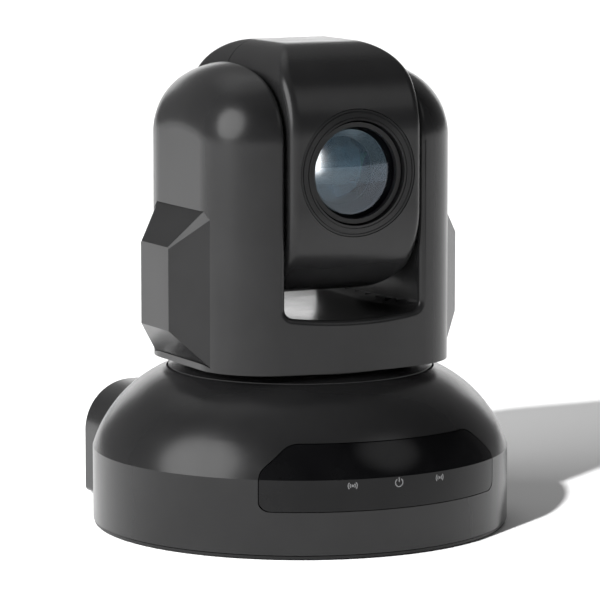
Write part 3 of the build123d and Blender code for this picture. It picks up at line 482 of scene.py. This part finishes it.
# ---- Scene ----
def add_floor():
    bm = bmesh.new()
    half = FLOOR_SIZE / 2
    corners = ((-half, -half), (half, -half), (half, half), (-half, half))
    bm.faces.new([bm.verts.new((x, y, 0)) for x, y in corners])
    mesh_data = mesh_from("floor", bm)
    mesh_data.materials.append(floor_material())
    floor = bpy.data.objects.new("floor", mesh_data)
    bpy.context.scene.collection.objects.link(floor)
    return floor


def facing_patch(nodes, links, direction, aim_angles, spread):
    """1 within the inner angle of an aim's (azimuth, elevation), fading to 0 at the outer angle."""
    azimuth, elevation = aim_angles
    inner, outer = spread
    flat = cos(radians(elevation))
    aim = nodes.new("ShaderNodeVectorMath")
    aim.operation = "DOT_PRODUCT"
    turn = radians(azimuth)
    aim.inputs[1].default_value = (sin(turn) * flat, -cos(turn) * flat, sin(radians(elevation)))
    links.new(direction, aim.inputs[0])
    fade = nodes.new("ShaderNodeMapRange")
    fade.interpolation_type = "SMOOTHSTEP"
    fade.inputs["From Min"].default_value = cos(radians(outer))
    fade.inputs["From Max"].default_value = cos(radians(inner))
    links.new(aim.outputs["Value"], fade.inputs["Value"])
    return fade.outputs["Result"]


def combine(nodes, links, operation, a, b):
    """Result of a maths operation on two values, each a socket or a plain number."""
    node = nodes.new("ShaderNodeMath")
    node.operation = operation
    for socket, value in zip(node.inputs, (a, b)):
        if isinstance(value, float):
            socket.default_value = value
        else:
            links.new(value, socket)
    return node.outputs["Value"]


def add_world():
    """White studio, brighter behind and overhead, with two soft boxes and a dimmer gap in front."""
    world = bpy.data.worlds.new("studio")
    bpy.context.scene.world = world
    world.use_nodes = True
    nodes, links = world.node_tree.nodes, world.node_tree.links
    direction = nodes.new("ShaderNodeTexCoord").outputs["Generated"]
    split = nodes.new("ShaderNodeSeparateXYZ")
    links.new(direction, split.inputs["Vector"])
    low_wall = remap(nodes, links, split.outputs["Z"], WALL_TONE, CEILING_TONE, 0.2, 0.5)
    overhead = remap(nodes, links, split.outputs["Z"], 0.0, OVERHEAD_TONE, 0.78, 0.95)
    behind = remap(nodes, links, split.outputs["Y"], 0.0, OVERHEAD_TONE, -0.1, 0.4)
    gap = facing_patch(nodes, links, direction, GAP_AIM, GAP_SPREAD)
    gap = remap(nodes, links, gap, 1.0, GAP_TONE, 0.0, 1.0)
    front = combine(nodes, links, "MULTIPLY", low_wall, gap)
    upper = combine(nodes, links, "MAXIMUM", overhead, behind)
    front_box = facing_patch(nodes, links, direction, FRONT_BOX_AIM, FRONT_BOX_SPREAD)
    front_box = combine(nodes, links, "MULTIPLY", front_box, FRONT_BOX_TONE)
    back_box = facing_patch(nodes, links, direction, BACK_BOX_AIM, BACK_BOX_SPREAD)
    back_box = combine(nodes, links, "MULTIPLY", back_box, BACK_BOX_TONE)
    total = combine(nodes, links, "MAXIMUM", front, upper)
    total = combine(nodes, links, "ADD", total, front_box)
    total = combine(nodes, links, "ADD", total, back_box)
    background = nodes["Background"]
    links.new(total, background.inputs["Strength"])


def add_sun(floor):
    """Sun that lights the floor only, so that the object's shadow falls on it."""
    light = bpy.data.lights.new("key", "SUN")
    light.energy = SUN_STRENGTH
    light.angle = SUN_ANGLE
    key = bpy.data.objects.new("key", light)
    bpy.context.scene.collection.objects.link(key)
    flat = cos(SUN_ELEVATION)
    towards = Vector((cos(SUN_AZIMUTH) * flat, sin(SUN_AZIMUTH) * flat, sin(SUN_ELEVATION)))
    key.rotation_euler = towards.to_track_quat("Z", "Y").to_euler()
    lit = bpy.data.collections.new("lit_by_key")
    lit.objects.link(floor)
    key.light_linking.receiver_collection = lit


def soft_light(name, shape, size, radiance, azimuth, reach, height):
    """Area light of a given radiance that faces the lens."""
    light = bpy.data.lights.new(name, "AREA")
    light.shape = shape
    light.size, light.size_y = size
    area = size[0] * size[1] * (pi / 4 if shape == "ELLIPSE" else 1.0)
    light.energy = radiance * pi * area
    lamp = bpy.data.objects.new(name, light)
    bpy.context.scene.collection.objects.link(lamp)
    turn = radians(azimuth)
    place = Vector((sin(turn) * reach, -cos(turn) * reach, height))
    lamp.location = place
    lamp.rotation_euler = (place - Vector((0, 0, LENS_Z))).to_track_quat("Z", "Y").to_euler()
    lamp.visible_camera = False
    return lamp


def add_soft_lights(coating):
    """Box on the left for round corners, glow behind for rims, glint for the lens's coating only."""
    side_place = (SIDE_BOX_AZIMUTH, SIDE_BOX_REACH, SIDE_BOX_HEIGHT)
    soft_light("side_box", "ELLIPSE", SIDE_BOX_SIZE, SIDE_BOX_TONE, *side_place)
    glow_place = (GLOW_AZIMUTH, GLOW_REACH, GLOW_HEIGHT)
    soft_light("back_glow", "RECTANGLE", GLOW_SIZE, GLOW_TONE, *glow_place)
    glint_place = (GLINT_AZIMUTH, GLINT_REACH, GLINT_HEIGHT)
    glint = soft_light("lens_glint", "RECTANGLE", GLINT_SIZE, GLINT_TONE, *glint_place)
    lit = bpy.data.collections.new("lit_by_glint")
    lit.objects.link(coating)
    glint.light_linking.receiver_collection = lit


def add_camera():
    data = bpy.data.cameras.new("camera")
    data.lens = CAMERA_LENS
    data.sensor_width = SENSOR_WIDTH
    data.clip_end = VIEW_LIMIT
    camera = bpy.data.objects.new("camera", data)
    bpy.context.scene.collection.objects.link(camera)
    left = sin(CAMERA_AZIMUTH) * CAMERA_REACH
    front = cos(CAMERA_AZIMUTH) * CAMERA_REACH
    place = Vector((-left, -front, CAMERA_HEIGHT))
    camera.location = place
    camera.rotation_euler = (place - CAMERA_TARGET).to_track_quat("Z", "Y").to_euler()
    bpy.context.scene.camera = camera


def dress_nodes(materials):
    """Gives each CAD node the finished material of its slot."""
    for part in frame["record"]["subparts"]:
        node = frame["nodes"][part["node"]]
        node.data.materials.clear()
        node.data.materials.append(materials[part["material_slot"]])


def build():
    materials = slot_materials()
    dress_nodes(materials)
    ink = surface("sign_ink", (0.25, 0.25, 0.255), 0.55, grain=4000.0, depth=0.000004, mottle=0.08)
    signal_angle = asin(SIGNAL_X / BASE_R)
    power_sign(ink)
    remote_sign("left_remote_sign", -signal_angle, ink)
    remote_sign("right_remote_sign", signal_angle, ink)
    coating = lens_coating()
    light_baffles(materials["inner_plastic"])
    steel = materials["steel"]
    jack_centre = ((JACK_LOW.x + JACK_HIGH.x) / 2, (JACK_LOW.z + JACK_HIGH.z) / 2)
    control_z = (CONTROL_LOW.z + CONTROL_HIGH.z) / 2
    left_centre = (CONTROL_LOW.x + CONTROL_HALF, control_z)
    right_centre = (CONTROL_HIGH.x - CONTROL_HALF, control_z)
    socket_collar("dc_jack_collar", jack_centre, JACK_BORE_R, steel)
    socket_collar("left_control_collar", left_centre, CONTROL_BORE_R, steel)
    socket_collar("right_control_collar", right_centre, CONTROL_BORE_R, steel)
    panel_screw("left_panel_screw", PANEL_LOW.x + PANEL_SCREW_INSET, materials["screw_steel"])
    panel_screw("right_panel_screw", PANEL_HIGH.x - PANEL_SCREW_INSET, materials["screw_steel"])
    floor = add_floor()
    add_world()
    add_sun(floor)
    add_soft_lights(coating)
    add_camera()
    bpy.context.scene.view_settings.view_transform = "Standard"


build()

bpy.context.view_layer.update()
